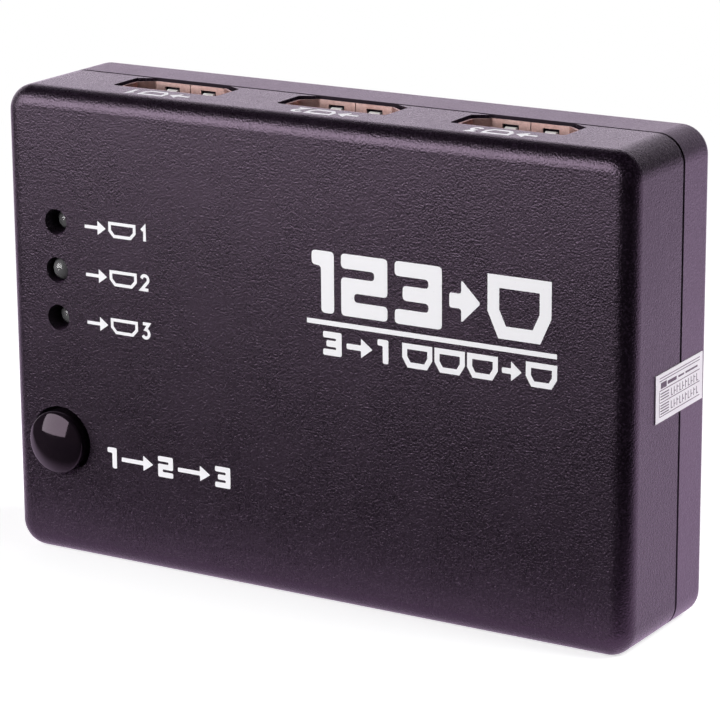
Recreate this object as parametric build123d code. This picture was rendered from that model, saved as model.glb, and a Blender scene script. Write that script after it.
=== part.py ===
from build123d import *
import os

# Three-way video switch box, stood on its outlet side.
# X runs along the labelled front, Y runs from the front to the back and Z is up.
# The origin is the middle of the box's footprint, with the button's reach counted in.
# All sizes are in millimetres, and a depth is counted back from the front face.

# Case
CASE_W = 88.0
CASE_H = 60.4
CASE_D = 20.0
FRONT_SHELL_D = 12.8
CORNER_R = 3.4
INSIDE_CORNER_R = 0.4
FRONT_EDGE_R = 2.3
BACK_EDGE_R = 1.2
RIM_EDGE = 0.25
FRONT_WALL = 1.8
SIDE_WALL = 1.8
BACK_WALL = 1.6
OVERRUN = 1.0

# Lap lip that centres the back shell in the front shell
LIP_H = 1.2
LIP_T = 0.8
LIP_CLEAR = 0.15
LIP_ROOT_H = 1.1

# Case screws
SCREW_INSET = 5.4
SCREW_BOSS_D = 5.0
SCREW_POST_D = 7.0
SCREW_SHANK_D = 2.2
SCREW_SHANK_L = 9.0
SCREW_HEAD_D = 4.2
SCREW_HEAD_H = 1.5
SCREW_HEAD_CLEAR = 0.3
SCREW_HOLE_CLEAR = 0.2
THREAD_CLEAR = 0.05
SCREW_TIP_ROOM = 1.0
SCREW_RECESS_D = 2.4
CROSS_W = 0.6
CROSS_L = 2.2
CROSS_D = 0.9
BOSS_RIB_T = 1.0
BOSS_RIB_GAP = 1.2

# Circuit board
BOARD_T = 1.6
BOARD_FRONT = 12.5
BOARD_EDGE_GAP = 1.2
BOARD_CORNER_R = 1.2
BOARD_HOLE_CLEAR = 0.15
LEAD_STICKOUT = 0.9

# Sockets: the mouth is a formed metal sleeve round a contact tongue
PORT_MARGIN = 19.9
PORT_SHIFT = 0.2
PORT_COUNT = 3
SOCKET_CAVITY_W = 14.0
SOCKET_CAVITY_H = 4.55
SOCKET_CHAMFER_W = 1.87
SOCKET_CHAMFER_H = 1.45
SOCKET_BEND_R = 0.35
SOCKET_WALL = 0.3
SOCKET_L = 10.0
SOCKET_LIFT = 0.1
MOUTH_RECESS = 0.3
SEAM_W = 0.1
SPRING_SPACING = 5.4
SPRING_WINDOW_W = 2.2
SPRING_WINDOW_L = 4.0
SPRING_WINDOW_START = 0.5
SPRING_GAP = 0.35
SPRING_BUMP_R = 0.6
SPRING_BUMP_H = 0.35
SOCKET_LEG_W = 1.2
SOCKET_LEG_FRONT = 3.9
SOCKET_LEG_REAR = 8.6
TONGUE_W = 11.5
TONGUE_T = 1.0
TONGUE_RECESS = 1.6
TONGUE_FROM_WIDE = 1.75
TONGUE_EDGE = 0.3
BLOCK_START = 7.2
BLOCK_TAIL_L = 1.4
INSERT_CLEAR = 0.05
CONTACT_T = 0.15
CONTACT_W = 0.3
CONTACT_PITCH = 1.0
CONTACT_RECESS = 0.4
WIDE_CONTACT_COUNT = 10
NARROW_CONTACT_COUNT = 9

# Openings in the case for the sockets
NOTCH_START = 6.2
NOTCH_SIDE_GAP = 0.4
NOTCH_CHAMFER_W = 2.4
NOTCH_CHAMFER_H = 1.3
NOTCH_CORNER_R = 0.6

# Status lamps
LAMP_INSET = 7.6
LAMP_DROP = 16.8
LAMP_PITCH_SHARE = 0.102
LAMP_RECESSES = (1.6, 0.25, 1.6)
LENS_D = 3.0
LENS_L = 5.3
LENS_FLANGE_D = 3.8
LENS_FLANGE_T = 1.0
LAMP_HOLE_CLEAR = 0.15
LAMP_COLLAR_T = 0.85
LAMP_COLLAR_END = 3.0
LEAD_T = 0.5
LEAD_SPACING = 2.54
POST_TOP = 3.3
POST_STEP = 1.4
ANVIL_W = 1.5
ANVIL_GAP = 0.3
CUP_D = 0.8
CUP_DEPTH = 0.35

# Selector button
BUTTON_INSET = 7.4
BUTTON_Z = 15.1
CAP_D = 8.1
CAP_PROUD = 2.4
CAP_CROWN_R = 7.6
CAP_EDGE_R = 0.5
CAP_GAP = 0.45
CAP_SKIN = 1.2
CAP_TOP_T = 1.4
CAP_FLANGE_D = 10.4
CAP_FLANGE_T = 1.0
CAP_RIB_T = 0.8
BUTTON_COLLAR_T = 1.0
BUTTON_COLLAR_END = 3.6
BUTTON_STOP_GAP = 0.1
BUTTON_TRAVEL = 0.3

# Push switch under the button
SWITCH_W = 6.0
SWITCH_BASE_H = 3.1
SWITCH_COVER_T = 0.3
SWITCH_POCKET_D = 5.0
SWITCH_POCKET_H = 2.2
SWITCH_HEIGHT = 4.3
PLUNGER_D = 3.4
PLUNGER_CLEAR = 0.25
PLUNGER_FOOT_CLEAR = 0.3
PLUNGER_FOOT_T = 0.8
PLUNGER_NUB_D = 1.6
PLUNGER_REST_GAP = 0.1
DOME_D = 4.4
DOME_FLAT_D = 2.6
DOME_T = 0.12
DOME_H = 0.45
DOME_STOP_GAP = 0.05
TERMINAL_W = 0.7
TERMINAL_T = 0.3
TERMINAL_SPACING = 4.5

# Round jacks on the outlet side
JACK_AXIS_UP = 3.6
JACK_BODY_START = 2.2
JACK_HOLE_CLEAR = 0.25
JACK_TOP_T = 3.4
EYE_JACK_INSET = 23.0
EYE_JACK_BORE_D = 3.6
EYE_JACK_NOSE_D = 5.4
EYE_JACK_BODY_W = 6.4
EYE_JACK_BODY_L = 11.0
EYE_JACK_DEPTH = 11.9
EYE_SLEEVE_T = 0.4
EYE_SLEEVE_L = 3.5
POWER_JACK_INSET = 22.0
POWER_JACK_BORE_D = 3.8
POWER_JACK_NOSE_D = 6.0
POWER_JACK_BODY_W = 7.4
POWER_JACK_BODY_L = 9.5
POWER_JACK_DEPTH = 8.7
POWER_PIN_D = 1.3
POWER_PIN_RECESS = 0.9
POWER_PIN_TAIL = 0.9
JACK_TERMINAL_W = 1.2
JACK_TERMINAL_T = 0.3
JACK_TERMINAL_INSET = 2.2

# Parts on the board
SWITCH_CHIP_X = 2.0
SWITCH_CHIP_W = 10.0
SWITCH_CHIP_T = 1.4
SWITCH_CHIP_PIN_COUNT = 8
SWITCH_CHIP_PITCH = 1.0
CONTROL_CHIP_X = -18.0
CONTROL_CHIP_DROP = 1.85
CONTROL_CHIP_W = 8.7
CONTROL_CHIP_H = 3.9
CONTROL_CHIP_T = 1.5
CONTROL_CHIP_PIN_COUNT = 7
CONTROL_CHIP_PITCH = 1.27
PIN_REACH = 1.0
PIN_T = 0.15
PIN_FOOT = 0.45
PIN_WIDTH_SHARE = 0.44
CHIP_LIFT = 0.1
REGULATOR_INSET = 13.0
REGULATOR_RISE = 1.15
REGULATOR_W = 6.5
REGULATOR_H = 3.5
REGULATOR_T = 1.6
REGULATOR_PITCH = 2.3
REGULATOR_TAB_W = 3.0
CAPACITOR_D = 5.0
CAPACITOR_L = 8.0
CAPACITOR_EDGE = 0.4
CAPACITOR_LEAD_T = 0.5
CAPACITOR_LEAD_SPACING = 2.0
CAPACITOR_INSET = 10.0
CAPACITOR_Z = 19.5
CAPACITOR_PITCH = 7.0
CHIP_CAP_W = 2.0
CHIP_CAP_H = 1.25
CHIP_CAP_T = 0.9
CHIP_CAP_GAP = 3.4
RESISTOR_W = 1.6
RESISTOR_H = 0.8
RESISTOR_T = 0.45
RESISTOR_RUN = 1.9
RESISTOR_COUNT = 5
RESISTOR_DROP = 14.2

# Paper seal across the joint on the right-hand side
SEAL_L = 12.4
SEAL_H = 5.8
SEAL_T = 0.1
SEAL_START = 6.2
SEAL_RISE = 0.25
SEAL_TILT = 1.0

# Places worked out from the sizes above
FRONT_Y = (CAP_PROUD - CASE_D) / 2
MID_Z = CASE_H / 2
SEAL_Z = MID_Z + SEAL_RISE
PORT_PITCH = CASE_W / 2 - PORT_MARGIN
LAMP_X = LAMP_INSET - CASE_W / 2
LAMP_TOP_Z = CASE_H - LAMP_DROP
LAMP_PITCH = CASE_H * LAMP_PITCH_SHARE
BUTTON_X = BUTTON_INSET - CASE_W / 2
EYE_JACK_X = EYE_JACK_INSET - CASE_W / 2
POWER_JACK_X = CASE_W / 2 - POWER_JACK_INSET
SWITCH_CHIP_Z = MID_Z
CONTROL_CHIP_Z = MID_Z - CONTROL_CHIP_DROP
REGULATOR_X = CASE_W / 2 - REGULATOR_INSET
REGULATOR_Z = MID_Z + REGULATOR_RISE
CAPACITOR_X = CASE_W / 2 - CAPACITOR_INSET
BOARD_BACK = BOARD_FRONT + BOARD_T
BACK_INSIDE = CASE_D - BACK_WALL
SCREW_SEAT = CASE_D - SCREW_RECESS_D
SCREW_X = CASE_W / 2 - SCREW_INSET
SCREW_PLACES = [(x, z) for x in (-SCREW_X, SCREW_X) for z in (SCREW_INSET, CASE_H - SCREW_INSET)]
PORT_XS = [PORT_SHIFT + PORT_PITCH * (i - (PORT_COUNT - 1) / 2) for i in range(PORT_COUNT)]
SOCKET_FLOOR = BOARD_FRONT - SOCKET_LIFT
SOCKET_TOP = SOCKET_FLOOR - 2 * SOCKET_WALL - SOCKET_CAVITY_H
MOUTH_Z = CASE_H - MOUTH_RECESS
TONGUE_WIDE = SOCKET_TOP + SOCKET_WALL + TONGUE_FROM_WIDE
TONGUE_NARROW = TONGUE_WIDE + TONGUE_T
NOTCH_W = SOCKET_CAVITY_W + 2 * SOCKET_WALL + 2 * NOTCH_SIDE_GAP
LAMP_ZS = [LAMP_TOP_Z - LAMP_PITCH * i for i in range(len(LAMP_RECESSES))]
LAMP_HOLE_D = LENS_D + 2 * LAMP_HOLE_CLEAR
BUTTON_HOLE_D = CAP_D + 2 * CAP_GAP
CAP_FLANGE_START = BUTTON_COLLAR_END + BUTTON_STOP_GAP
PLUNGER_TOP = BOARD_FRONT - SWITCH_HEIGHT
SWITCH_COVER_BACK = BOARD_FRONT - SWITCH_BASE_H
SWITCH_FLOOR = SWITCH_COVER_BACK + SWITCH_POCKET_H
JACK_AXIS = BOARD_FRONT - JACK_AXIS_UP
JACK_TOP = JACK_AXIS - JACK_TOP_T


def depth(distance):
    """Y of a plane that lies this far behind the front face."""
    return FRONT_Y + distance


def along_y(profile, start, end):
    """Extrude a profile drawn in X and Z between two depths."""
    plane = Plane(origin=(0, depth(end), 0), x_dir=(1, 0, 0), z_dir=(0, -1, 0))
    return extrude(plane * profile, amount=end - start)


def along_z(profile, low, high):
    """Extrude a profile drawn in X and Y between two heights."""
    return extrude(Pos(0, 0, low) * profile, amount=high - low)


def along_x(points, middle, width):
    """Extrude an outline of (depth, z) points to a width about a middle X."""
    corners = [Vector(middle - width / 2, depth(d), z) for d, z in points]
    return extrude(make_face(Polyline(*corners, close=True)), amount=width, dir=(1, 0, 0))


def block(x, z, width, height, start, end):
    """Rectangular block centred on X and Z between two depths."""
    return along_y(Pos(x, z) * Rectangle(width, height), start, end)


def disc(x, z, diameter, start, end):
    """Round bar along Y between two depths."""
    return along_y(Pos(x, z) * Circle(diameter / 2), start, end)


def rod(x, middle_depth, diameter, low, high):
    """Round bar along Z between two heights."""
    return along_z(Pos(x, depth(middle_depth)) * Circle(diameter / 2), low, high)


def turned(x, z, outline):
    """Revolve an outline of (radius, depth) edges about an axis along Y."""
    face = make_face(outline)
    return Pos(x, FRONT_Y, z) * revolve(face, Axis.Y)


def flipped(shape):
    """Turn a piece of the inlet side over to the outlet side."""
    return Pos(0, 0, CASE_H) * (Rot(0, 180, 0) * shape)


def case_outline(inset):
    """Rounded outline of the case, drawn in by an inset."""
    corner = max(CORNER_R - inset, INSIDE_CORNER_R)
    rounded = RectangleRounded(CASE_W - 2 * inset, CASE_H - 2 * inset, corner)
    return Pos(0, MID_Z) * rounded


def case_ring(outer_inset, inner_inset, start, end):
    """Ring that follows the case outline between two insets."""
    return along_y(case_outline(outer_inset) - case_outline(inner_inset), start, end)


def socket_cavity():
    """Mouth outline of a socket in X and Y, wide side to the front, about X = 0."""
    wide = SOCKET_CAVITY_W / 2
    narrow = wide - SOCKET_CHAMFER_W
    top = depth(SOCKET_TOP + SOCKET_WALL)
    bottom = top + SOCKET_CAVITY_H
    corner = bottom - SOCKET_CHAMFER_H
    face = make_face(Polyline(
        (-wide, top), (wide, top), (wide, corner), (narrow, bottom),
        (-narrow, bottom), (-wide, corner), close=True,
    ))
    return fillet(face.vertices(), SOCKET_BEND_R)


def port_notch(x):
    """Opening for a socket through the upper wall, with its far corners cut across."""
    half = NOTCH_W / 2
    near = depth(NOTCH_START)
    far = depth(FRONT_SHELL_D)
    outline = make_face(Polyline(
        (-half, near), (half, near), (half, far - NOTCH_CHAMFER_H),
        (half - NOTCH_CHAMFER_W, far), (half - NOTCH_CHAMFER_W, far + OVERRUN),
        (NOTCH_CHAMFER_W - half, far + OVERRUN), (NOTCH_CHAMFER_W - half, far),
        (-half, far - NOTCH_CHAMFER_H), close=True,
    ))
    near_corners = outline.vertices().sort_by(Axis.Y)[0:2]
    outline = fillet(near_corners, NOTCH_CORNER_R)
    return Pos(x, 0, 0) * along_z(outline, CASE_H - SIDE_WALL - OVERRUN, CASE_H + OVERRUN)


def screw_ribs(x, z):
    """Two short ribs that tie a screw boss to the nearest walls."""
    end = FRONT_SHELL_D - LIP_H - BOSS_RIB_GAP
    wall_x = (CASE_W / 2 - SIDE_WALL) * (1 if x > 0 else -1)
    wall_z = SIDE_WALL if z < MID_Z else CASE_H - SIDE_WALL
    across = block((x + wall_x) / 2, z, abs(wall_x - x), BOSS_RIB_T, FRONT_WALL, end)
    upright = block(x, (z + wall_z) / 2, BOSS_RIB_T, abs(wall_z - z), FRONT_WALL, end)
    return [across, upright]


def front_shell():
    """Deep front half of the case with its notches, collars and screw bosses."""
    shell = along_y(case_outline(0), 0, FRONT_SHELL_D)
    shell = fillet(shell.faces().sort_by(Axis.Y)[0].edges(), FRONT_EDGE_R)
    shell = chamfer(shell.faces().sort_by(Axis.Y)[-1].edges(), RIM_EDGE)
    shell = shell - along_y(case_outline(SIDE_WALL), FRONT_WALL, FRONT_SHELL_D + OVERRUN)
    added = []
    for x, z in SCREW_PLACES:
        added.append(disc(x, z, SCREW_BOSS_D, FRONT_WALL, BOARD_FRONT))
        added.extend(screw_ribs(x, z))
    for z in LAMP_ZS:
        collar_d = LAMP_HOLE_D + 2 * LAMP_COLLAR_T
        added.append(disc(LAMP_X, z, collar_d, FRONT_WALL, LAMP_COLLAR_END))
    collar_d = BUTTON_HOLE_D + 2 * BUTTON_COLLAR_T
    added.append(disc(BUTTON_X, BUTTON_Z, collar_d, FRONT_WALL, BUTTON_COLLAR_END))
    shell = shell.fuse(*added)
    cuts = []
    pilot_end = SCREW_SEAT - SCREW_SHANK_L - SCREW_TIP_ROOM
    for x, z in SCREW_PLACES:
        cuts.append(disc(x, z, SCREW_SHANK_D + 2 * THREAD_CLEAR, pilot_end, BOARD_FRONT + OVERRUN))
    for z in LAMP_ZS:
        cuts.append(disc(LAMP_X, z, LAMP_HOLE_D, -OVERRUN, LAMP_COLLAR_END + OVERRUN))
    cuts.append(disc(BUTTON_X, BUTTON_Z, BUTTON_HOLE_D, -OVERRUN, BUTTON_COLLAR_END + OVERRUN))
    for x in PORT_XS:
        cuts.append(port_notch(x))
    cuts.append(flipped(port_notch(-PORT_SHIFT)))
    for x, nose_d in ((EYE_JACK_X, EYE_JACK_NOSE_D), (POWER_JACK_X, POWER_JACK_NOSE_D)):
        cuts.append(rod(x, JACK_AXIS, nose_d + 2 * JACK_HOLE_CLEAR, -OVERRUN, SIDE_WALL + OVERRUN))
    return shell.cut(*cuts)


def lip_gaps():
    """Breaks in the lap lip where sockets and jacks pass through the wall."""
    low = FRONT_SHELL_D - LIP_H - OVERRUN
    band = SIDE_WALL + LIP_CLEAR + LIP_T + OVERRUN
    gaps = [block(x, CASE_H - band / 2, NOTCH_W, band, low, FRONT_SHELL_D) for x in PORT_XS]
    gaps.append(block(PORT_SHIFT, band / 2, NOTCH_W, band, low, FRONT_SHELL_D))
    for x, nose_d in ((EYE_JACK_X, EYE_JACK_BODY_W), (POWER_JACK_X, POWER_JACK_BODY_W)):
        gaps.append(block(x, band / 2, nose_d + 2 * OVERRUN, band, low, FRONT_SHELL_D))
    return gaps


def back_shell():
    """Shallow back half of the case with its lap lip, screw posts and board ribs."""
    shell = along_y(case_outline(0), FRONT_SHELL_D, CASE_D)
    shell = fillet(shell.faces().sort_by(Axis.Y)[-1].edges(), BACK_EDGE_R)
    shell = chamfer(shell.faces().sort_by(Axis.Y)[0].edges(), RIM_EDGE)
    shell = shell - along_y(case_outline(SIDE_WALL), FRONT_SHELL_D - OVERRUN, BACK_INSIDE)
    lip_inner = SIDE_WALL + LIP_CLEAR + LIP_T
    lip = case_ring(SIDE_WALL + LIP_CLEAR, lip_inner, FRONT_SHELL_D - LIP_H, FRONT_SHELL_D)
    lip = lip.cut(*lip_gaps())
    root = case_ring(SIDE_WALL, lip_inner, FRONT_SHELL_D, FRONT_SHELL_D + LIP_ROOT_H)
    added = [root] + list(lip.solids())
    for x, z in SCREW_PLACES:
        added.append(disc(x, z, SCREW_POST_D, BOARD_BACK, BACK_INSIDE))
    for left, right in zip(PORT_XS, PORT_XS[1:]):
        rib_x = (left + right) / 2
        rib_z = MOUTH_Z - SOCKET_LEG_REAR
        added.append(block(rib_x, rib_z, BOSS_RIB_T, SOCKET_L, BOARD_BACK, BACK_INSIDE))
    shell = shell.fuse(*added)
    cuts = []
    for x, z in SCREW_PLACES:
        cuts.append(disc(x, z, SCREW_HEAD_D + 2 * SCREW_HEAD_CLEAR, SCREW_SEAT, CASE_D + OVERRUN))
        hole_d = SCREW_SHANK_D + 2 * SCREW_HOLE_CLEAR
        cuts.append(disc(x, z, hole_d, BOARD_BACK - OVERRUN, SCREW_SEAT + OVERRUN))
    return shell.cut(*cuts)


def case_screw(x, z):
    """Self-tapping screw with a cross-slotted head."""
    head_top = SCREW_SEAT + SCREW_HEAD_H
    head = disc(x, z, SCREW_HEAD_D, SCREW_SEAT, head_top)
    head = chamfer(head.faces().sort_by(Axis.Y)[-1].edges(), SCREW_HEAD_H / 3)
    shank = disc(x, z, SCREW_SHANK_D, SCREW_SEAT - SCREW_SHANK_L, SCREW_SEAT)
    slot_start = head_top - CROSS_D
    slots = [
        block(x, z, CROSS_L, CROSS_W, slot_start, head_top + OVERRUN),
        block(x, z, CROSS_W, CROSS_L, slot_start, head_top + OVERRUN),
    ]
    return head.fuse(shank).cut(*slots)


def socket_windows(wall_depth):
    """Cutters for the two spring windows in one broad wall of a socket sleeve."""
    top = MOUTH_Z - SPRING_WINDOW_START
    middle = top - SPRING_WINDOW_L / 2
    start = wall_depth - SOCKET_WALL
    end = wall_depth + SOCKET_WALL
    return [
        block(x, middle, SPRING_WINDOW_W, SPRING_WINDOW_L, start, end)
        for x in (-SPRING_SPACING / 2, SPRING_SPACING / 2)
    ]


def socket_springs(wall_start, inward):
    """Leaf springs in the windows of one broad wall, each with a rounded bump."""
    springs = []
    low = MOUTH_Z - SPRING_WINDOW_START - SPRING_WINDOW_L
    high = MOUTH_Z - SPRING_WINDOW_START - SPRING_GAP
    width = SPRING_WINDOW_W - 2 * SPRING_GAP
    for x in (-SPRING_SPACING / 2, SPRING_SPACING / 2):
        leaf = block(x, (low + high) / 2, width, high - low, wall_start, wall_start + SOCKET_WALL)
        face = depth(wall_start + (SOCKET_WALL if inward > 0 else 0))
        foot = (x - width / 2, face, high - 2 * SPRING_BUMP_R)
        crown = (x - width / 2, face + inward * SPRING_BUMP_H, high - SPRING_BUMP_R)
        head = (x - width / 2, face, high)
        ridge = make_face([ThreePointArc(foot, crown, head), Line(head, foot)])
        springs.extend([leaf, extrude(ridge, amount=width, dir=(1, 0, 0))])
    return springs


def socket_leg_places():
    """X and Z of the four legs of a socket sleeve about X = 0."""
    x = (SOCKET_CAVITY_W + SOCKET_WALL) / 2
    return [(s * x, MOUTH_Z - back) for s in (-1, 1) for back in (SOCKET_LEG_FRONT, SOCKET_LEG_REAR)]


def socket_sleeve():
    """Formed metal sleeve of a socket about X = 0, with springs, seam and legs."""
    inner = socket_cavity()
    outer = offset(inner, amount=SOCKET_WALL)
    sleeve = along_z(outer, MOUTH_Z - SOCKET_L, MOUTH_Z)
    cavity = along_z(inner, MOUTH_Z - SOCKET_L + SOCKET_WALL, MOUTH_Z + OVERRUN)
    narrow_inside = SOCKET_FLOOR - SOCKET_WALL
    tail_room = block(
        0, MOUTH_Z - SOCKET_L, SOCKET_CAVITY_W - 2 * SOCKET_CHAMFER_W, 2 * SOCKET_WALL + OVERRUN,
        TONGUE_WIDE - 2 * CONTACT_T, narrow_inside,
    )
    seam = block(0, MOUTH_Z - SOCKET_L / 2, SEAM_W, SOCKET_L + OVERRUN,
                 narrow_inside - SOCKET_WALL, SOCKET_FLOOR + SOCKET_WALL)
    wide_middle = SOCKET_TOP + SOCKET_WALL / 2
    narrow_middle = SOCKET_FLOOR - SOCKET_WALL / 2
    cutters = [cavity, tail_room, seam] + socket_windows(wide_middle) + socket_windows(narrow_middle)
    sleeve = sleeve.cut(*cutters)
    added = socket_springs(SOCKET_TOP, 1) + socket_springs(narrow_inside, -1)
    leg_start = SOCKET_FLOOR - SOCKET_WALL - SOCKET_CHAMFER_H - SOCKET_LEG_W
    for x, z in socket_leg_places():
        added.append(block(x, z, SOCKET_WALL, SOCKET_LEG_W, leg_start, BOARD_BACK + LEAD_STICKOUT))
    return sleeve.fuse(*added)


def socket_insulator():
    """Moulded contact tongue with its block and rear foot, about X = 0."""
    block_low = MOUTH_Z - SOCKET_L + SOCKET_WALL + INSERT_CLEAR
    core = along_z(offset(socket_cavity(), amount=-INSERT_CLEAR), block_low, MOUTH_Z - BLOCK_START)
    tongue_low = MOUTH_Z - BLOCK_START
    tongue_high = MOUTH_Z - TONGUE_RECESS
    tongue = block(0, (tongue_low + tongue_high) / 2, TONGUE_W, tongue_high - tongue_low,
                   TONGUE_WIDE, TONGUE_NARROW)
    tip = tongue.faces().sort_by(Axis.Z)[-1]
    tongue = chamfer(tip.edges().filter_by(Axis.X), TONGUE_EDGE)
    foot_low = MOUTH_Z - SOCKET_L - BLOCK_TAIL_L
    neck_w = SOCKET_CAVITY_W - 2 * SOCKET_CHAMFER_W - 2 * INSERT_CLEAR
    neck_top = TONGUE_WIDE - 2 * CONTACT_T + INSERT_CLEAR
    neck_end = SOCKET_FLOOR - SOCKET_WALL - INSERT_CLEAR
    neck_z = (foot_low + tongue_low) / 2
    neck = block(0, neck_z, neck_w, tongue_low - foot_low, neck_top, neck_end)
    rear_high = MOUTH_Z - SOCKET_L - INSERT_CLEAR
    rear = block(0, (foot_low + rear_high) / 2, neck_w, rear_high - foot_low, neck_top, BOARD_FRONT)
    body = core.fuse(tongue, neck, rear)
    slit_z = (foot_low + tongue_low) / 2
    slit_h = tongue_low - foot_low + OVERRUN
    slit_w = WIDE_CONTACT_COUNT * CONTACT_PITCH
    above = block(0, slit_z, slit_w, slit_h, TONGUE_WIDE - CONTACT_T, TONGUE_WIDE)
    below = block(0, slit_z, slit_w, slit_h, TONGUE_NARROW, TONGUE_NARROW + CONTACT_T)
    return body.cut(above, below)


def socket_contact(x, start):
    """One contact: flat along the tongue and down behind the foot to the board."""
    tip = MOUTH_Z - TONGUE_RECESS - CONTACT_RECESS
    bend = MOUTH_Z - SOCKET_L - BLOCK_TAIL_L - INSERT_CLEAR
    inner = start + CONTACT_T
    outline = [
        (start, tip), (inner, tip), (inner, bend), (BOARD_FRONT, bend),
        (BOARD_FRONT, bend - CONTACT_T), (start, bend - CONTACT_T),
    ]
    return along_x(outline, x, CONTACT_W)


def socket_contacts():
    """Both rows of contacts of a socket, about X = 0."""
    rows = ((WIDE_CONTACT_COUNT, TONGUE_WIDE - CONTACT_T), (NARROW_CONTACT_COUNT, TONGUE_NARROW))
    return [
        socket_contact(CONTACT_PITCH * (i - (count - 1) / 2), start)
        for count, start in rows
        for i in range(count)
    ]


def lamp_lead_outlines(recess):
    """Outlines in X and depth of a lamp's two leads, about X = 0."""
    base = recess + LENS_L
    half = LEAD_SPACING / 2
    inside = half - LEAD_T / 2
    outside = half + LEAD_T / 2
    end = BOARD_BACK + LEAD_STICKOUT
    flare = base - POST_STEP
    top = base - POST_TOP
    anvil_edge = ANVIL_GAP / 2
    post = [(inside, end), (outside, end), (outside, flare), (inside, top), (anvil_edge, top),
            (anvil_edge, top + LEAD_T), (inside, flare)]
    anvil_left = anvil_edge + ANVIL_W
    anvil = [(-inside, end), (-outside, end), (-outside, flare), (-anvil_left, top + LEAD_T),
             (-anvil_left, top), (-anvil_edge, top), (-anvil_edge, top + LEAD_T), (-inside, flare)]
    return post, anvil


def lamp_leads(z, recess):
    """Two square leads of a lamp, the wider one with a reflector cup."""
    leads = []
    for outline in lamp_lead_outlines(recess):
        corners = [(LAMP_X + x, depth(d)) for x, d in outline]
        face = make_face(Polyline(*corners, close=True))
        leads.append(along_z(face, z - LEAD_T / 2, z + LEAD_T / 2))
    cup_x = LAMP_X - ANVIL_GAP / 2 - ANVIL_W / 2
    cup_start = recess + LENS_L - POST_TOP
    cup = disc(cup_x, z, CUP_D, cup_start, cup_start + CUP_DEPTH)
    leads[1] = leads[1] - cup
    return leads


def lamp_lens(z, recess):
    """Clear domed lamp body, moulded round its leads."""
    radius = LENS_D / 2
    flange_r = LENS_FLANGE_D / 2
    base = recess + LENS_L
    flange = base - LENS_FLANGE_T
    outline = [
        RadiusArc((0, recess), (radius, recess + radius), -radius),
        Polyline((radius, recess + radius), (radius, flange), (flange_r, flange),
                 (flange_r, base), (0, base), (0, recess)),
    ]
    lens = turned(LAMP_X, z, outline)
    return lens.cut(*lamp_leads(z, recess))


def button_cap():
    """Hollow domed cap with a retaining flange and a stem down to the switch."""
    radius = CAP_D / 2
    flange_r = CAP_FLANGE_D / 2
    inner_r = radius - CAP_SKIN
    stem_r = PLUNGER_D / 2
    middle = CAP_CROWN_R - CAP_PROUD
    run = radius - CAP_EDGE_R
    rise = ((CAP_CROWN_R - CAP_EDGE_R) ** 2 - run ** 2) ** 0.5
    reach_share = CAP_CROWN_R / (CAP_CROWN_R - CAP_EDGE_R)
    round_start = (run * reach_share, middle - rise * reach_share)
    round_end = (radius, middle - rise)
    underside = CAP_TOP_T - CAP_PROUD
    flange_end = CAP_FLANGE_START + CAP_FLANGE_T
    outline = [
        RadiusArc((0, -CAP_PROUD), round_start, -CAP_CROWN_R),
        RadiusArc(round_start, round_end, -CAP_EDGE_R),
        Polyline(
            round_end, (radius, CAP_FLANGE_START), (flange_r, CAP_FLANGE_START),
            (flange_r, flange_end), (inner_r, flange_end), (inner_r, underside),
            (stem_r, underside), (stem_r, PLUNGER_TOP), (0, PLUNGER_TOP), (0, -CAP_PROUD),
        ),
    ]
    cap = turned(BUTTON_X, BUTTON_Z, outline)
    span = 2 * inner_r + CAP_SKIN
    ribs = [
        block(BUTTON_X, BUTTON_Z, span, CAP_RIB_T, underside, flange_end),
        block(BUTTON_X, BUTTON_Z, CAP_RIB_T, span, underside, flange_end),
    ]
    return cap.fuse(*ribs)


def switch_base():
    """Moulded switch base with its round pocket."""
    base = block(BUTTON_X, BUTTON_Z, SWITCH_W, SWITCH_W, SWITCH_COVER_BACK, BOARD_FRONT)
    pocket = disc(BUTTON_X, BUTTON_Z, SWITCH_POCKET_D, SWITCH_COVER_BACK - OVERRUN, SWITCH_FLOOR)
    return base - pocket


def switch_cover():
    """Thin metal plate that holds the plunger in the switch."""
    front = SWITCH_COVER_BACK - SWITCH_COVER_T
    plate = block(BUTTON_X, BUTTON_Z, SWITCH_W, SWITCH_W, front, SWITCH_COVER_BACK)
    hole_d = PLUNGER_D + 2 * PLUNGER_CLEAR
    return plate - disc(BUTTON_X, BUTTON_Z, hole_d, front - OVERRUN, SWITCH_COVER_BACK + OVERRUN)


def dome_crown():
    """Depth of the top of the switch dome."""
    return SWITCH_FLOOR - DOME_H


def switch_plunger():
    """Stepped plunger between the cap's stem and the switch dome."""
    foot_start = SWITCH_COVER_BACK + PLUNGER_REST_GAP
    foot_end = foot_start + PLUNGER_FOOT_T
    foot_d = SWITCH_POCKET_D - 2 * PLUNGER_FOOT_CLEAR
    nub_end = dome_crown() - BUTTON_TRAVEL - DOME_STOP_GAP
    stem = disc(BUTTON_X, BUTTON_Z, PLUNGER_D, PLUNGER_TOP, foot_start)
    foot = disc(BUTTON_X, BUTTON_Z, foot_d, foot_start, foot_end)
    nub = disc(BUTTON_X, BUTTON_Z, PLUNGER_NUB_D, foot_end, nub_end)
    return stem.fuse(foot, nub)


def switch_dome():
    """Sprung metal dome with a flat crown, on the floor of the switch pocket."""
    radius = DOME_D / 2
    crown = dome_crown()
    flat_r = DOME_FLAT_D / 2
    outline = Polyline(
        (0, crown), (flat_r, crown), (radius, SWITCH_FLOOR), (radius - DOME_T, SWITCH_FLOOR),
        (flat_r - DOME_T, crown + DOME_T), (0, crown + DOME_T), close=True,
    )
    return turned(BUTTON_X, BUTTON_Z, outline)


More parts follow.
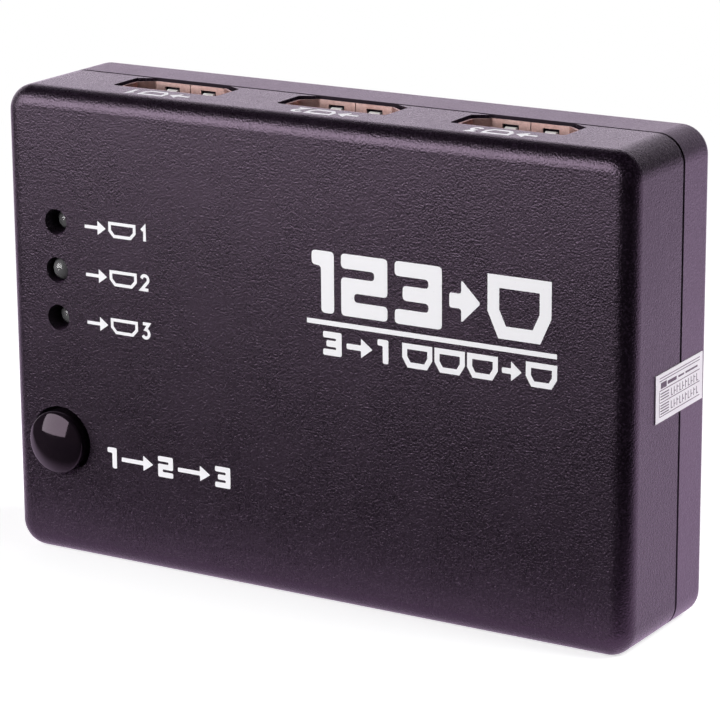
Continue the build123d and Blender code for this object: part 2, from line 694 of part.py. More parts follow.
def switch_terminal_places():
    """X and Z of the four terminals at the sides of the switch."""
    x = SWITCH_W / 2 + TERMINAL_T / 2
    return [
        (BUTTON_X + sx * x, BUTTON_Z + sz * TERMINAL_SPACING / 2) for sx in (-1, 1) for sz in (-1, 1)
    ]


def switch_terminals():
    """Four flat terminals that run down the switch's sides and through the board."""
    start = SWITCH_COVER_BACK + SWITCH_COVER_T
    end = BOARD_BACK + LEAD_STICKOUT
    return [block(x, z, TERMINAL_T, TERMINAL_W, start, end) for x, z in switch_terminal_places()]


def jack_shell(x, bore_d, nose_d, body_w, body_l, bore_depth):
    """Moulded jack body with a round nose that reaches into the case wall."""
    body_high = JACK_BODY_START + body_l
    middle_z = (JACK_BODY_START + body_high) / 2
    body = block(x, middle_z, body_w, body_l, JACK_TOP, BOARD_FRONT)
    body = chamfer(body.faces().sort_by(Axis.Y)[0].edges().filter_by(Axis.Z), TONGUE_EDGE)
    nose = rod(x, JACK_AXIS, nose_d, MOUTH_RECESS, JACK_BODY_START)
    bore = rod(x, JACK_AXIS, bore_d, MOUTH_RECESS - OVERRUN, MOUTH_RECESS + bore_depth)
    return body.fuse(nose).cut(bore)


def jack_terminal_places(x, body_w, body_l):
    """X and Z of the four terminals along the sides of a jack."""
    side = body_w / 2 + JACK_TERMINAL_T / 2
    ends = (JACK_BODY_START + JACK_TERMINAL_INSET, JACK_BODY_START + body_l - JACK_TERMINAL_INSET)
    return [(x + s * side, z) for s in (-1, 1) for z in ends]


def jack_terminals(x, body_w, body_l):
    """Flat terminals that run down the sides of a jack and through the board."""
    end = BOARD_BACK + LEAD_STICKOUT
    return [
        block(tx, z, JACK_TERMINAL_T, JACK_TERMINAL_W, JACK_AXIS, end)
        for tx, z in jack_terminal_places(x, body_w, body_l)
    ]


def eye_jack_housing():
    """Jack for the remote control's eye, bored for its metal sleeve."""
    housing = jack_shell(EYE_JACK_X, EYE_JACK_BORE_D, EYE_JACK_NOSE_D,
                         EYE_JACK_BODY_W, EYE_JACK_BODY_L, EYE_JACK_DEPTH)
    seat_d = EYE_JACK_BORE_D + 2 * EYE_SLEEVE_T
    seat = rod(EYE_JACK_X, JACK_AXIS, seat_d, MOUTH_RECESS - OVERRUN, MOUTH_RECESS + EYE_SLEEVE_L)
    return housing - seat


def eye_jack_sleeve():
    """Plated sleeve that lines the mouth of the eye's jack."""
    outer_d = EYE_JACK_BORE_D + 2 * EYE_SLEEVE_T
    high = MOUTH_RECESS + EYE_SLEEVE_L
    sleeve = rod(EYE_JACK_X, JACK_AXIS, outer_d, MOUTH_RECESS, high)
    return sleeve - rod(EYE_JACK_X, JACK_AXIS, EYE_JACK_BORE_D, MOUTH_RECESS, high)


def power_jack_housing():
    """Power inlet body with a hole in its rear wall for the centre pin."""
    housing = jack_shell(POWER_JACK_X, POWER_JACK_BORE_D, POWER_JACK_NOSE_D,
                         POWER_JACK_BODY_W, POWER_JACK_BODY_L, POWER_JACK_DEPTH)
    rear = JACK_BODY_START + POWER_JACK_BODY_L + OVERRUN
    return housing - rod(POWER_JACK_X, JACK_AXIS, POWER_PIN_D + 2 * INSERT_CLEAR, MOUTH_RECESS, rear)


def power_jack_pin():
    """Centre pin of the power inlet, with a chamfered tip."""
    high = JACK_BODY_START + POWER_JACK_BODY_L + POWER_PIN_TAIL
    pin = rod(POWER_JACK_X, JACK_AXIS, POWER_PIN_D, MOUTH_RECESS + POWER_PIN_RECESS, high)
    return chamfer(pin.faces().sort_by(Axis.Z)[0].edges(), POWER_PIN_D / 4)


def capacitor_places():
    """X and Z of the two smoothing capacitors."""
    return [(CAPACITOR_X, CAPACITOR_Z), (CAPACITOR_X - CAPACITOR_PITCH, CAPACITOR_Z)]


def capacitor_can(x, z):
    """Round capacitor can with a narrowed edge."""
    can = disc(x, z, CAPACITOR_D, BOARD_FRONT - CAPACITOR_L, BOARD_FRONT)
    return chamfer(can.faces().sort_by(Axis.Y)[0].edges(), CAPACITOR_EDGE)


def capacitor_lead_places():
    """X and Z of the capacitor leads."""
    half = CAPACITOR_LEAD_SPACING / 2
    return [(x + s * half, z) for x, z in capacitor_places() for s in (-1, 1)]


def capacitor_leads():
    """Leads of the smoothing capacitors, through the board."""
    end = BOARD_BACK + LEAD_STICKOUT
    return [
        block(x, z, CAPACITOR_LEAD_T, CAPACITOR_LEAD_T, BOARD_FRONT, end)
        for x, z in capacitor_lead_places()
    ]


def board_holes():
    """Cutters for every lead, leg and screw that passes through the board."""
    start = BOARD_FRONT - OVERRUN
    end = BOARD_BACK + OVERRUN
    gap = 2 * BOARD_HOLE_CLEAR
    holes = []
    screw_d = SCREW_SHANK_D + 2 * SCREW_HOLE_CLEAR
    for x, z in SCREW_PLACES:
        holes.append(disc(x, z, screw_d, start, end))
    for leg_x, leg_z in socket_leg_places():
        for x in PORT_XS:
            holes.append(block(x + leg_x, leg_z, SOCKET_WALL + gap, SOCKET_LEG_W + gap, start, end))
        holes.append(block(PORT_SHIFT + leg_x, CASE_H - leg_z,
                           SOCKET_WALL + gap, SOCKET_LEG_W + gap, start, end))
    for z in LAMP_ZS:
        for side in (-1, 1):
            x = LAMP_X + side * LEAD_SPACING / 2
            holes.append(block(x, z, LEAD_T + gap, LEAD_T + gap, start, end))
    for x, z in switch_terminal_places():
        holes.append(block(x, z, TERMINAL_T + gap, TERMINAL_W + gap, start, end))
    jack_legs = jack_terminal_places(EYE_JACK_X, EYE_JACK_BODY_W, EYE_JACK_BODY_L)
    jack_legs += jack_terminal_places(POWER_JACK_X, POWER_JACK_BODY_W, POWER_JACK_BODY_L)
    for x, z in jack_legs:
        holes.append(block(x, z, JACK_TERMINAL_T + gap, JACK_TERMINAL_W + gap, start, end))
    for x, z in capacitor_lead_places():
        holes.append(block(x, z, CAPACITOR_LEAD_T + gap, CAPACITOR_LEAD_T + gap, start, end))
    return holes


def circuit_board():
    """Board that carries the sockets, lamps, switch and jacks."""
    inset = SIDE_WALL + BOARD_EDGE_GAP
    outline = RectangleRounded(CASE_W - 2 * inset, CASE_H - 2 * inset, BOARD_CORNER_R)
    board = along_y(Pos(0, MID_Z) * outline, BOARD_FRONT, BOARD_BACK)
    return board.cut(*board_holes())


def chip_body(x, z, width, height, thickness):
    """Moulded chip body that stands just off the board."""
    end = BOARD_FRONT - CHIP_LIFT
    body = block(x, z, width, height, end - thickness, end)
    front = body.faces().sort_by(Axis.Y)[0]
    return chamfer(front.edges(), CHIP_LIFT)


def gull_pin(reach_from, thickness, width):
    """Bent chip lead in depth and Z, its foot on the board, below Z = 0 of its body."""
    shoulder = BOARD_FRONT - CHIP_LIFT - thickness / 2
    knee = reach_from + PIN_REACH - PIN_FOOT
    toe = reach_from + PIN_REACH
    heel = BOARD_FRONT - PIN_T
    outline = [
        (shoulder, -reach_from), (heel, -knee), (heel, -toe), (BOARD_FRONT, -toe),
        (BOARD_FRONT, -(knee - PIN_T)), (shoulder + PIN_T, -reach_from),
    ]
    return along_x(outline, 0, width)


def pin_row(count, pitch, reach_from, thickness):
    """Row of chip leads below a body that is centred on X = 0 and Z = 0."""
    pin = gull_pin(reach_from, thickness, pitch * PIN_WIDTH_SHARE)
    return [Pos(pitch * (i - (count - 1) / 2), 0, 0) * pin for i in range(count)]


def chip_pins(x, z, count, pitch, half_sizes, thickness):
    """Leads on two or four sides of a chip, by its half sizes on the sides in turn."""
    pins = []
    turn = 360 / len(half_sizes)
    for side, half in enumerate(half_sizes):
        for pin in pin_row(count, pitch, half, thickness):
            pins.append(Pos(x, 0, z) * (Rot(0, turn * side, 0) * pin))
    return pins


def regulator_pins():
    """Three leads below the regulator and its broad tab above."""
    half = REGULATOR_H / 2
    pins = [
        Pos(REGULATOR_X, 0, REGULATOR_Z) * pin
        for pin in pin_row(3, REGULATOR_PITCH, half, REGULATOR_T)
    ]
    tab = Rot(0, 180, 0) * gull_pin(half, REGULATOR_T, REGULATOR_TAB_W)
    return pins + [Pos(REGULATOR_X, 0, REGULATOR_Z) * tab]


def chip_capacitors():
    """Small decoupling capacitors in a line on each side of the switching chip."""
    reach = SWITCH_CHIP_W / 2 + PIN_REACH + CHIP_CAP_W
    start = BOARD_FRONT - CHIP_CAP_T
    return [
        block(SWITCH_CHIP_X + side * reach, SWITCH_CHIP_Z + row * CHIP_CAP_GAP,
              CHIP_CAP_W, CHIP_CAP_H, start, BOARD_FRONT)
        for side in (-1, 1)
        for row in (-1, 0, 1)
    ]


def chip_resistors():
    """Row of small resistors below each inlet socket."""
    start = BOARD_FRONT - RESISTOR_T
    z = CASE_H - RESISTOR_DROP
    return [
        block(x + RESISTOR_RUN * (i - (RESISTOR_COUNT - 1) / 2), z, RESISTOR_H, RESISTOR_W,
              start, BOARD_FRONT)
        for x in PORT_XS
        for i in range(RESISTOR_COUNT)
    ]


def seal_label():
    """Thin paper seal across the joint between the two shells."""
    plane = Plane(origin=(CASE_W / 2, depth(SEAL_START + SEAL_L / 2), SEAL_Z),
                  x_dir=(0, 1, 0), z_dir=(1, 0, 0))
    return extrude(plane * (Rot(0, 0, SEAL_TILT) * Rectangle(SEAL_L, SEAL_H)), amount=SEAL_T)


def save(name, shapes):
    """Write one node's solids to its own file."""
    solids = [solid for shape in shapes for solid in shape.solids()]
    node = solids[0] if len(solids) == 1 else Compound(children=solids)
    node.label = name
    export_step(node, f"parts/{name}.step")


os.makedirs("parts", exist_ok=True)

save("front_shell", [front_shell()])
save("back_shell", [back_shell()])
save("case_screws", [case_screw(x, z) for x, z in SCREW_PLACES])
save("circuit_board", [circuit_board()])
save("seal_label", [seal_label()])

sleeve = socket_sleeve()
insulator = socket_insulator()
contacts = socket_contacts()
for number, x in enumerate(PORT_XS, start=1):
    move = Pos(x, 0, 0)
    save(f"input_socket_{number}_sleeve", [move * sleeve])
    save(f"input_socket_{number}_insulator", [move * insulator])
    save(f"input_socket_{number}_contacts", [move * contact for contact in contacts])
move = Pos(-PORT_SHIFT, 0, 0)
save("output_socket_sleeve", [flipped(move * sleeve)])
save("output_socket_insulator", [flipped(move * insulator)])
save("output_socket_contacts", [flipped(move * contact) for contact in contacts])

for number, (z, recess) in enumerate(zip(LAMP_ZS, LAMP_RECESSES), start=1):
    save(f"lamp_{number}_lens", [lamp_lens(z, recess)])
    save(f"lamp_{number}_leads", lamp_leads(z, recess))

save("button_cap", [button_cap()])
save("switch_plunger", [switch_plunger()])
save("switch_dome", [switch_dome()])
save("switch_cover", [switch_cover()])
save("switch_base", [switch_base()])
save("switch_terminals", switch_terminals())

save("eye_jack_housing", [eye_jack_housing()])
save("eye_jack_sleeve", [eye_jack_sleeve()])
save("eye_jack_terminals", jack_terminals(EYE_JACK_X, EYE_JACK_BODY_W, EYE_JACK_BODY_L))
save("power_jack_housing", [power_jack_housing()])
save("power_jack_pin", [power_jack_pin()])
save("power_jack_terminals", jack_terminals(POWER_JACK_X, POWER_JACK_BODY_W, POWER_JACK_BODY_L))

chip_side = SWITCH_CHIP_W / 2
control_side = CONTROL_CHIP_H / 2
save("switch_chip_body", [chip_body(
    SWITCH_CHIP_X, SWITCH_CHIP_Z, SWITCH_CHIP_W, SWITCH_CHIP_W, SWITCH_CHIP_T)])
save("switch_chip_pins", chip_pins(
    SWITCH_CHIP_X, SWITCH_CHIP_Z, SWITCH_CHIP_PIN_COUNT, SWITCH_CHIP_PITCH,
    [chip_side] * 4, SWITCH_CHIP_T))
save("control_chip_body", [chip_body(
    CONTROL_CHIP_X, CONTROL_CHIP_Z, CONTROL_CHIP_W, CONTROL_CHIP_H, CONTROL_CHIP_T)])
save("control_chip_pins", chip_pins(
    CONTROL_CHIP_X, CONTROL_CHIP_Z, CONTROL_CHIP_PIN_COUNT, CONTROL_CHIP_PITCH,
    [control_side] * 2, CONTROL_CHIP_T))
save("regulator_body", [chip_body(REGULATOR_X, REGULATOR_Z, REGULATOR_W, REGULATOR_H, REGULATOR_T)])
save("regulator_pins", regulator_pins())
save("capacitor_cans", [capacitor_can(x, z) for x, z in capacitor_places()])
save("capacitor_leads", capacitor_leads())
save("chip_capacitors", chip_capacitors())
save("chip_resistors", chip_resistors())
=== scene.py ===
import math

import bmesh
import bpy
from mathutils import Matrix, Vector


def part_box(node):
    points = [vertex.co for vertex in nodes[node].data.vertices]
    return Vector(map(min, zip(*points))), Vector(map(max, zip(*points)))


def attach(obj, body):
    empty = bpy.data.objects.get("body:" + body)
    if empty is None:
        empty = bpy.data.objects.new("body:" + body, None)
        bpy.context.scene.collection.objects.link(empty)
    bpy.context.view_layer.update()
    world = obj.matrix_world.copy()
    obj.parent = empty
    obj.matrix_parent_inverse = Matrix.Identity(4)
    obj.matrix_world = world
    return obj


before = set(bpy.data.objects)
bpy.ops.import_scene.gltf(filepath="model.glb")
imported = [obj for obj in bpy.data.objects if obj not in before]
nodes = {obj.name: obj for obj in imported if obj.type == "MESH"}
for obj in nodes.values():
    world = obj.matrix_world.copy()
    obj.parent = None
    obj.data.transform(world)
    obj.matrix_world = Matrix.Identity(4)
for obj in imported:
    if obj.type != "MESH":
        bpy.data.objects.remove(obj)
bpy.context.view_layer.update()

MM = 0.001


def corners(name):
    """Lowest corner, highest corner and middle of a node, in millimetres."""
    low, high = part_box(name)
    return low / MM, high / MM, (low + high) / 2 / MM


# Places on the model, in millimetres

CASE_LOW, CASE_HIGH, CASE_MID = corners("front_shell")
FRONT_Y = CASE_LOW.y
TOP_Z = CASE_HIGH.z
MID_Z = CASE_MID.z
JOINT_Y = CASE_HIGH.y
INLETS = [corners(f"input_socket_{n}_sleeve") for n in (1, 2, 3)]
INLET_XS = [middle.x for _, _, middle in INLETS]
OUTLET_X = corners("output_socket_sleeve")[2].x
MOUTH_UP = INLETS[0][1].z - MID_Z
LAMP_MIDS = [corners(f"lamp_{n}_lens")[2] for n in (1, 2, 3)]
BUTTON_MID = corners("button_cap")[2]
_, SEAL_HIGH, SEAL_MID = corners("seal_label")

# Bumps on the sockets' springs, where a highlight is painted, and the painted shade along the case's joint,
# in millimetres

SPRING_X = 2.7
SPRING_W = 1.5
BUMP_DROP = 1.45
BUMP_L = 1.2
BUMP_SOFT = 0.1
SPRING_SOFT = 0.05
SEAM_SHADE_HALF = 0.2
SEAM_SHADE_SOFT = 0.08

# Sizes of the case's moulded grain, in millimetres

FINE_GRAIN = 0.21
PITS = 0.25
SPECKS = 0.25
CLOUDS = 9.0


# Material helpers

def node(tree, kind, **inputs):
    """Add a node and set its plain inputs by name."""
    made = tree.nodes.new(kind)
    for name, value in inputs.items():
        made.inputs[name.replace("_", " ")].default_value = value
    return made


def material(name, **surface):
    """New material with one Principled shader; returns it with its tree and shader."""
    made = bpy.data.materials.new(name)
    made.use_nodes = True
    tree = made.node_tree
    tree.nodes.clear()
    output = tree.nodes.new("ShaderNodeOutputMaterial")
    shader = tree.nodes.new("ShaderNodeBsdfPrincipled")
    tree.links.new(shader.outputs["BSDF"], output.inputs["Surface"])
    for socket, value in surface.items():
        shader.inputs[socket.replace("_", " ")].default_value = value
    return made, tree, shader


def position(tree, stretch=(1, 1, 1)):
    """Object coordinates, in metres in the model's frame, stretched along each axis."""
    coords = tree.nodes.new("ShaderNodeTexCoord")
    mapping = tree.nodes.new("ShaderNodeMapping")
    mapping.inputs["Scale"].default_value = stretch
    tree.links.new(coords.outputs["Object"], mapping.inputs["Vector"])
    return mapping.outputs["Vector"]


def noise(tree, where, size, detail=2.0, rough=0.5):
    """Noise whose blobs are about size millimetres across."""
    made = node(tree, "ShaderNodeTexNoise", Scale=1 / (size * MM), Detail=detail, Roughness=rough)
    tree.links.new(where, made.inputs["Vector"])
    return made.outputs["Fac"]


def cells(tree, where, size):
    """Distance to the nearest seed of cells about size millimetres across."""
    made = node(tree, "ShaderNodeTexVoronoi", Scale=1 / (size * MM))
    tree.links.new(where, made.inputs["Vector"])
    return made.outputs["Distance"]


def spread(tree, value, low, high, to_low, to_high, smooth=False):
    """Map a value from one range to another, clamped."""
    made = node(tree, "ShaderNodeMapRange", From_Min=low, From_Max=high, To_Min=to_low, To_Max=to_high)
    if smooth:
        made.interpolation_type = "SMOOTHSTEP"
    tree.links.new(value, made.inputs["Value"])
    return made.outputs["Result"]


def blended(tree, share, first, second):
    """Mix two colours or colour outputs by a share."""
    made = tree.nodes.new("ShaderNodeMix")
    made.data_type = "RGBA"
    for socket, value in ((made.inputs[6], first), (made.inputs[7], second)):
        if isinstance(value, tuple):
            socket.default_value = (*value, 1)
        else:
            tree.links.new(value, socket)
    tree.links.new(share, made.inputs[0])
    return made.outputs[2]


def combined(tree, operation, first, second):
    """One math node on two outputs or plain values."""
    made = tree.nodes.new("ShaderNodeMath")
    made.operation = operation
    for socket, value in zip(made.inputs, (first, second)):
        if isinstance(value, (int, float)):
            socket.default_value = value
        else:
            tree.links.new(value, socket)
    return made.outputs[0]


def tinted(tree, first, second):
    """Two colour outputs multiplied."""
    made = tree.nodes.new("ShaderNodeMix")
    made.data_type = "RGBA"
    made.blend_type = "MULTIPLY"
    made.inputs[0].default_value = 1.0
    tree.links.new(first, made.inputs[6])
    tree.links.new(second, made.inputs[7])
    return made.outputs[2]


def mixed(tree, share, first, second):
    """Mix two shader outputs by a share."""
    made = tree.nodes.new("ShaderNodeMixShader")
    for socket, output in zip(made.inputs, (share, first, second)):
        tree.links.new(output, socket)
    return made.outputs[0]


def reach_along(tree, where, direction):
    """How far a position, or a direction, reaches along another direction."""
    made = tree.nodes.new("ShaderNodeVectorMath")
    made.operation = "DOT_PRODUCT"
    made.inputs[1].default_value = direction
    tree.links.new(where, made.inputs[0])
    return made.outputs["Value"]


def split(tree, where):
    """The three coordinates of a position, as separate outputs."""
    made = tree.nodes.new("ShaderNodeSeparateXYZ")
    tree.links.new(where, made.inputs["Vector"])
    return made.outputs


def near(tree, value, centre, half, soft):
    """1 where a value is within half of a centre, falling to 0 over the soft width."""
    off = combined(tree, "ABSOLUTE", combined(tree, "SUBTRACT", value, centre), 0)
    return spread(tree, off, half, half + soft, 1, 0)


def relief(tree, shader, height, depth_mm, strength=1.0):
    """Bump from a height output, whose full range is depth_mm millimetres."""
    made = node(tree, "ShaderNodeBump", Strength=strength, Distance=depth_mm * MM)
    tree.links.new(height, made.inputs["Height"])
    tree.links.new(made.outputs["Normal"], shader.inputs["Normal"])


# Materials

def moulded_shell(name, base, speck, rough_low, rough_high, grain, shine):
    """Black plastic with a faint purple cast and a fine grain, that many millimetres deep."""
    made, tree, shader = material(
        name, IOR=1.5, Specular_IOR_Level=shine, Specular_Tint=(0.98, 0.72, 1.0, 1),
        Sheen_Weight=0.12, Sheen_Roughness=0.30, Sheen_Tint=(0.92, 0.55, 1.0, 1),
    )
    where = position(tree)
    fine = noise(tree, where, FINE_GRAIN, 2.0, 0.6)
    pits = cells(tree, where, PITS)
    broad = noise(tree, where, CLOUDS, 3.0, 0.5)
    specks = noise(tree, where, SPECKS, 1.5, 0.5)
    cloudy = blended(tree, spread(tree, broad, 0.35, 0.65, 0, 1), base, tuple(1.35 * c for c in base))
    speckled = blended(tree, spread(tree, specks, 0.52, 0.68, 0, 1), cloudy, speck)
    # Painted shade: a near-black, fully rough line along the joint between the shells, standing in for the
    # shade in the groove
    seam = near(tree, split(tree, where)[1], JOINT_Y * MM, SEAM_SHADE_HALF * MM, SEAM_SHADE_SOFT * MM)
    tree.links.new(blended(tree, seam, speckled, (0.001, 0.001, 0.001)), shader.inputs["Base Color"])
    mottled = combined(tree, "ADD", combined(tree, "MULTIPLY", fine, 0.7),
                       combined(tree, "MULTIPLY", broad, 0.3))
    rough = spread(tree, mottled, 0.35, 0.65, rough_low, rough_high)
    tree.links.new(combined(tree, "MAXIMUM", rough, seam), shader.inputs["Roughness"])
    height = combined(tree, "ADD", fine, combined(tree, "MULTIPLY", pits, 0.5))
    relief(tree, shader, height, grain)
    return made


def gloss_button():
    """Polished black plastic with faint handling marks."""
    made, tree, shader = material("button_gloss", IOR=1.52, Specular_IOR_Level=0.27,
                                  Specular_Tint=(0.94, 0.72, 0.90, 1))
    where = position(tree)
    haze = noise(tree, where, 2.4, 4.0, 0.6)
    hairs = noise(tree, position(tree, (1, 1, 9)), 0.5, 3.0, 0.6)
    colour = blended(tree, haze, (0.006, 0.004, 0.007), (0.014, 0.009, 0.013))
    tree.links.new(colour, shader.inputs["Base Color"])
    worn = combined(tree, "ADD", combined(tree, "MULTIPLY", haze, 0.6),
                    combined(tree, "MULTIPLY", hairs, 0.4))
    tree.links.new(spread(tree, worn, 0.4, 0.7, 0.05, 0.13), shader.inputs["Roughness"])
    relief(tree, shader, haze, 0.02, 0.12)
    return made


def lamp_epoxy():
    """Clear cast epoxy with a little clouding."""
    made, tree, shader = material("lamp_epoxy", IOR=1.53, Transmission_Weight=0.88)
    where = position(tree)
    cloud = noise(tree, where, 0.7, 3.0, 0.6)
    colour = blended(tree, cloud, (0.78, 0.75, 0.80), (0.95, 0.94, 0.96))
    tree.links.new(colour, shader.inputs["Base Color"])
    tree.links.new(spread(tree, cloud, 0.35, 0.7, 0.03, 0.12), shader.inputs["Roughness"])
    relief(tree, shader, cloud, 0.02, 0.3)
    return made


def plated_metal(name, light, dark, rough_low, rough_high, size, stretch=(1, 1, 1), depth_mm=0.01):
    """Plated or rolled sheet metal with fine lines and tarnish."""
    made, tree, shader = material(name, Metallic=1.0)
    where = position(tree)
    lines = noise(tree, position(tree, stretch), size, 4.0, 0.6)
    tarnish = noise(tree, where, 1.6, 4.0, 0.6)
    colour = blended(tree, spread(tree, tarnish, 0.35, 0.68, 0, 1), light, dark)
    tree.links.new(colour, shader.inputs["Base Color"])
    both = combined(tree, "ADD", combined(tree, "MULTIPLY", lines, 0.5),
                    combined(tree, "MULTIPLY", tarnish, 0.5))
    tree.links.new(spread(tree, both, 0.35, 0.65, rough_low, rough_high), shader.inputs["Roughness"])
    relief(tree, shader, lines, depth_mm, 0.35)
    return made


def socket_metal():
    """Warm plated sleeve, with a painted highlight on the springs' bumps, which are pale and not metal."""
    made, tree, shader = material("socket_metal", Metallic=1.0)
    where = position(tree)
    rolled = noise(tree, position(tree, (7, 1, 1)), 0.5, 4.0, 0.6)
    tarnish = noise(tree, where, 1.5, 4.0, 0.65)
    warm = blended(tree, spread(tree, tarnish, 0.34, 0.66, 0, 1), (0.94, 0.66, 0.62), (0.60, 0.38, 0.35))
    x, _, z = split(tree, where)
    up = combined(tree, "ABSOLUTE", combined(tree, "SUBTRACT", z, MID_Z * MM), 0)
    bump_rows = near(tree, up, (MOUTH_UP - BUMP_DROP) * MM, BUMP_L / 2 * MM, BUMP_SOFT * MM)
    columns = None
    for middle in (*INLET_XS, OUTLET_X):
        for side in (-SPRING_X, SPRING_X):
            column = near(tree, x, (middle + side) * MM, SPRING_W / 2 * MM, SPRING_SOFT * MM)
            columns = column if columns is None else combined(tree, "MAXIMUM", columns, column)
    # Painted highlight: the springs' bumps are painted near white and made non-metal, standing in for their
    # reflection
    painted_bump_highlight = combined(tree, "MULTIPLY", columns, bump_rows)
    colour = blended(tree, painted_bump_highlight, warm, (0.97, 0.96, 0.95))
    tree.links.new(colour, shader.inputs["Base Color"])
    rough = spread(tree, combined(tree, "ADD", rolled, tarnish), 0.7, 1.3, 0.30, 0.48)
    tree.links.new(rough, shader.inputs["Roughness"])
    tree.links.new(combined(tree, "SUBTRACT", 1.0, painted_bump_highlight), shader.inputs["Metallic"])
    relief(tree, shader, rolled, 0.015, 0.5)
    return made


def plain_plastic(name, dark, pale, rough_low, rough_high, size, depth_mm):
    """Moulded plastic of the inner parts, with flow marks and a light texture."""
    made, tree, shader = material(name, IOR=1.5)
    where = position(tree)
    grain = noise(tree, where, size, 3.0, 0.6)
    flow = noise(tree, position(tree, (1, 2.5, 1)), 3.0, 3.0, 0.5)
    colour = blended(tree, spread(tree, flow, 0.35, 0.65, 0, 1), dark, pale)
    tree.links.new(colour, shader.inputs["Base Color"])
    tree.links.new(spread(tree, grain, 0.35, 0.65, rough_low, rough_high), shader.inputs["Roughness"])
    relief(tree, shader, grain, depth_mm, 0.4)
    return made


def board_mask():
    """Green solder mask with the glass weave showing under it and copper areas paler."""
    made, tree, shader = material("board_mask", IOR=1.5)
    where = position(tree)
    across = node(tree, "ShaderNodeTexWave", Scale=650.0, Distortion=0.6, Detail=2.0)
    tree.links.new(where, across.inputs["Vector"])
    upright = node(tree, "ShaderNodeTexWave", Scale=650.0, Distortion=0.6, Detail=2.0)
    upright.bands_direction = "Z"
    tree.links.new(where, upright.inputs["Vector"])
    weave = combined(tree, "MULTIPLY", across.outputs["Fac"], upright.outputs["Fac"])
    pours = spread(tree, noise(tree, where, 7.0, 1.0, 0.4), 0.49, 0.51, 0, 1)
    copper = blended(tree, pours, (0.010, 0.075, 0.038), (0.022, 0.155, 0.075))
    colour = blended(tree, combined(tree, "MULTIPLY", weave, 0.25), copper, (0.05, 0.20, 0.11))
    tree.links.new(colour, shader.inputs["Base Color"])
    tree.links.new(spread(tree, weave, 0, 1, 0.28, 0.42), shader.inputs["Roughness"])
    relief(tree, shader, combined(tree, "ADD", weave, pours), 0.03, 0.3)
    return made


def label_paper():
    """Matt coated paper with a fibre grain."""
    made, tree, shader = material("label_paper", IOR=1.45)
    fibres = noise(tree, position(tree, (1, 1, 3)), 0.25, 4.0, 0.65)
    blotches = noise(tree, position(tree), 2.5, 3.0, 0.5)
    colour = blended(tree, spread(tree, blotches, 0.35, 0.65, 0, 1), (0.97, 0.96, 0.97),
                     (0.93, 0.91, 0.93))
    tree.links.new(colour, shader.inputs["Base Color"])
    tree.links.new(spread(tree, fibres, 0.35, 0.65, 0.45, 0.65), shader.inputs["Roughness"])
    relief(tree, shader, fibres, 0.02, 0.35)
    return made


def ink(name, full, thin, patchy):
    """Printing ink that follows the grain and thins out in pinholes."""
    made, tree, shader = material(name, IOR=1.48)
    where = position(tree)
    pinholes = noise(tree, where, 0.22, 2.0, 0.6)
    cover = spread(tree, pinholes, 0.72 - patchy, 0.78 - patchy, 0, 0.75)
    colour = blended(tree, cover, full, thin)
    tree.links.new(colour, shader.inputs["Base Color"])
    tree.links.new(spread(tree, pinholes, 0.3, 0.7, 0.38, 0.6), shader.inputs["Roughness"])
    relief(tree, shader, pinholes, 0.02, 0.3)
    return made


FRONT_PLASTIC = moulded_shell("front_shell_plastic", (0.0034, 0.0018, 0.0038), (0.021, 0.013, 0.023),
                              0.24, 0.34, 0.050, 0.60)
BACK_PLASTIC = moulded_shell("back_shell_plastic", (0.024, 0.017, 0.026), (0.066, 0.049, 0.072),
                             0.30, 0.40, 0.045, 0.95)
BUTTON_PLASTIC = gloss_button()
LAMP_CLEAR = lamp_epoxy()
SOCKET_METAL = socket_metal()
TINNED = plated_metal("tinned_metal", (0.78, 0.77, 0.75), (0.60, 0.59, 0.57), 0.16, 0.34, 0.25)
GOLD = plated_metal("gold_plate", (0.93, 0.68, 0.30), (0.74, 0.50, 0.20), 0.16, 0.30, 0.2)
ZINC = plated_metal("zinc_steel", (0.52, 0.52, 0.53), (0.30, 0.30, 0.31), 0.28, 0.48, 0.3)
STAMPED = plated_metal("stamped_steel", (0.66, 0.66, 0.64), (0.50, 0.50, 0.48), 0.24, 0.40, 0.2, (1, 1, 6))
INSULATOR = plain_plastic("insulator_plastic", (0.012, 0.012, 0.013), (0.022, 0.021, 0.022),
                          0.32, 0.5, 0.15, 0.01)
CHIP_BLACK = plain_plastic("chip_plastic", (0.020, 0.020, 0.021), (0.030, 0.030, 0.031),
                           0.5, 0.7, 0.12, 0.02)
CAN_SLEEVE = plain_plastic("can_sleeve", (0.012, 0.012, 0.020), (0.020, 0.020, 0.030),
                           0.18, 0.3, 0.8, 0.02)
CERAMIC = plain_plastic("ceramic_body", (0.40, 0.27, 0.16), (0.52, 0.38, 0.25),
                        0.45, 0.65, 0.2, 0.01)
SWITCH_BLACK = plain_plastic("switch_plastic", (0.018, 0.018, 0.018), (0.030, 0.030, 0.030),
                             0.4, 0.6, 0.15, 0.01)
BOARD = board_mask()
PAPER = label_paper()
WHITE_INK = ink("white_ink", (0.96, 0.95, 0.98), (0.30, 0.26, 0.30), 0.0)
GREY_INK = ink("grey_ink", (0.10, 0.07, 0.10), (0.42, 0.38, 0.42), 0.08)

SLOT_MATERIALS = {
    "button_plastic": BUTTON_PLASTIC, "lens_clear": LAMP_CLEAR, "lead_metal": TINNED,
    "sleeve_metal": SOCKET_METAL, "insulator_plastic": INSULATOR, "contact_gold": GOLD,
    "screw_steel": ZINC, "board_laminate": BOARD, "seal_paper": PAPER, "chip_plastic": CHIP_BLACK,
    "can_sleeve": CAN_SLEEVE, "ceramic_chip": CERAMIC, "switch_plastic": SWITCH_BLACK,
    "switch_steel": STAMPED, "shell_plastic": FRONT_PLASTIC,
}
for name, carried in nodes.items():
    slot = carried.material_slots[0]
    slot.material = SLOT_MATERIALS[slot.material.name.split(".")[0]]
nodes["back_shell"].material_slots[0].material = BACK_PLASTIC


WELD_WITHIN = 0.0005
SHARP_FROM = 35


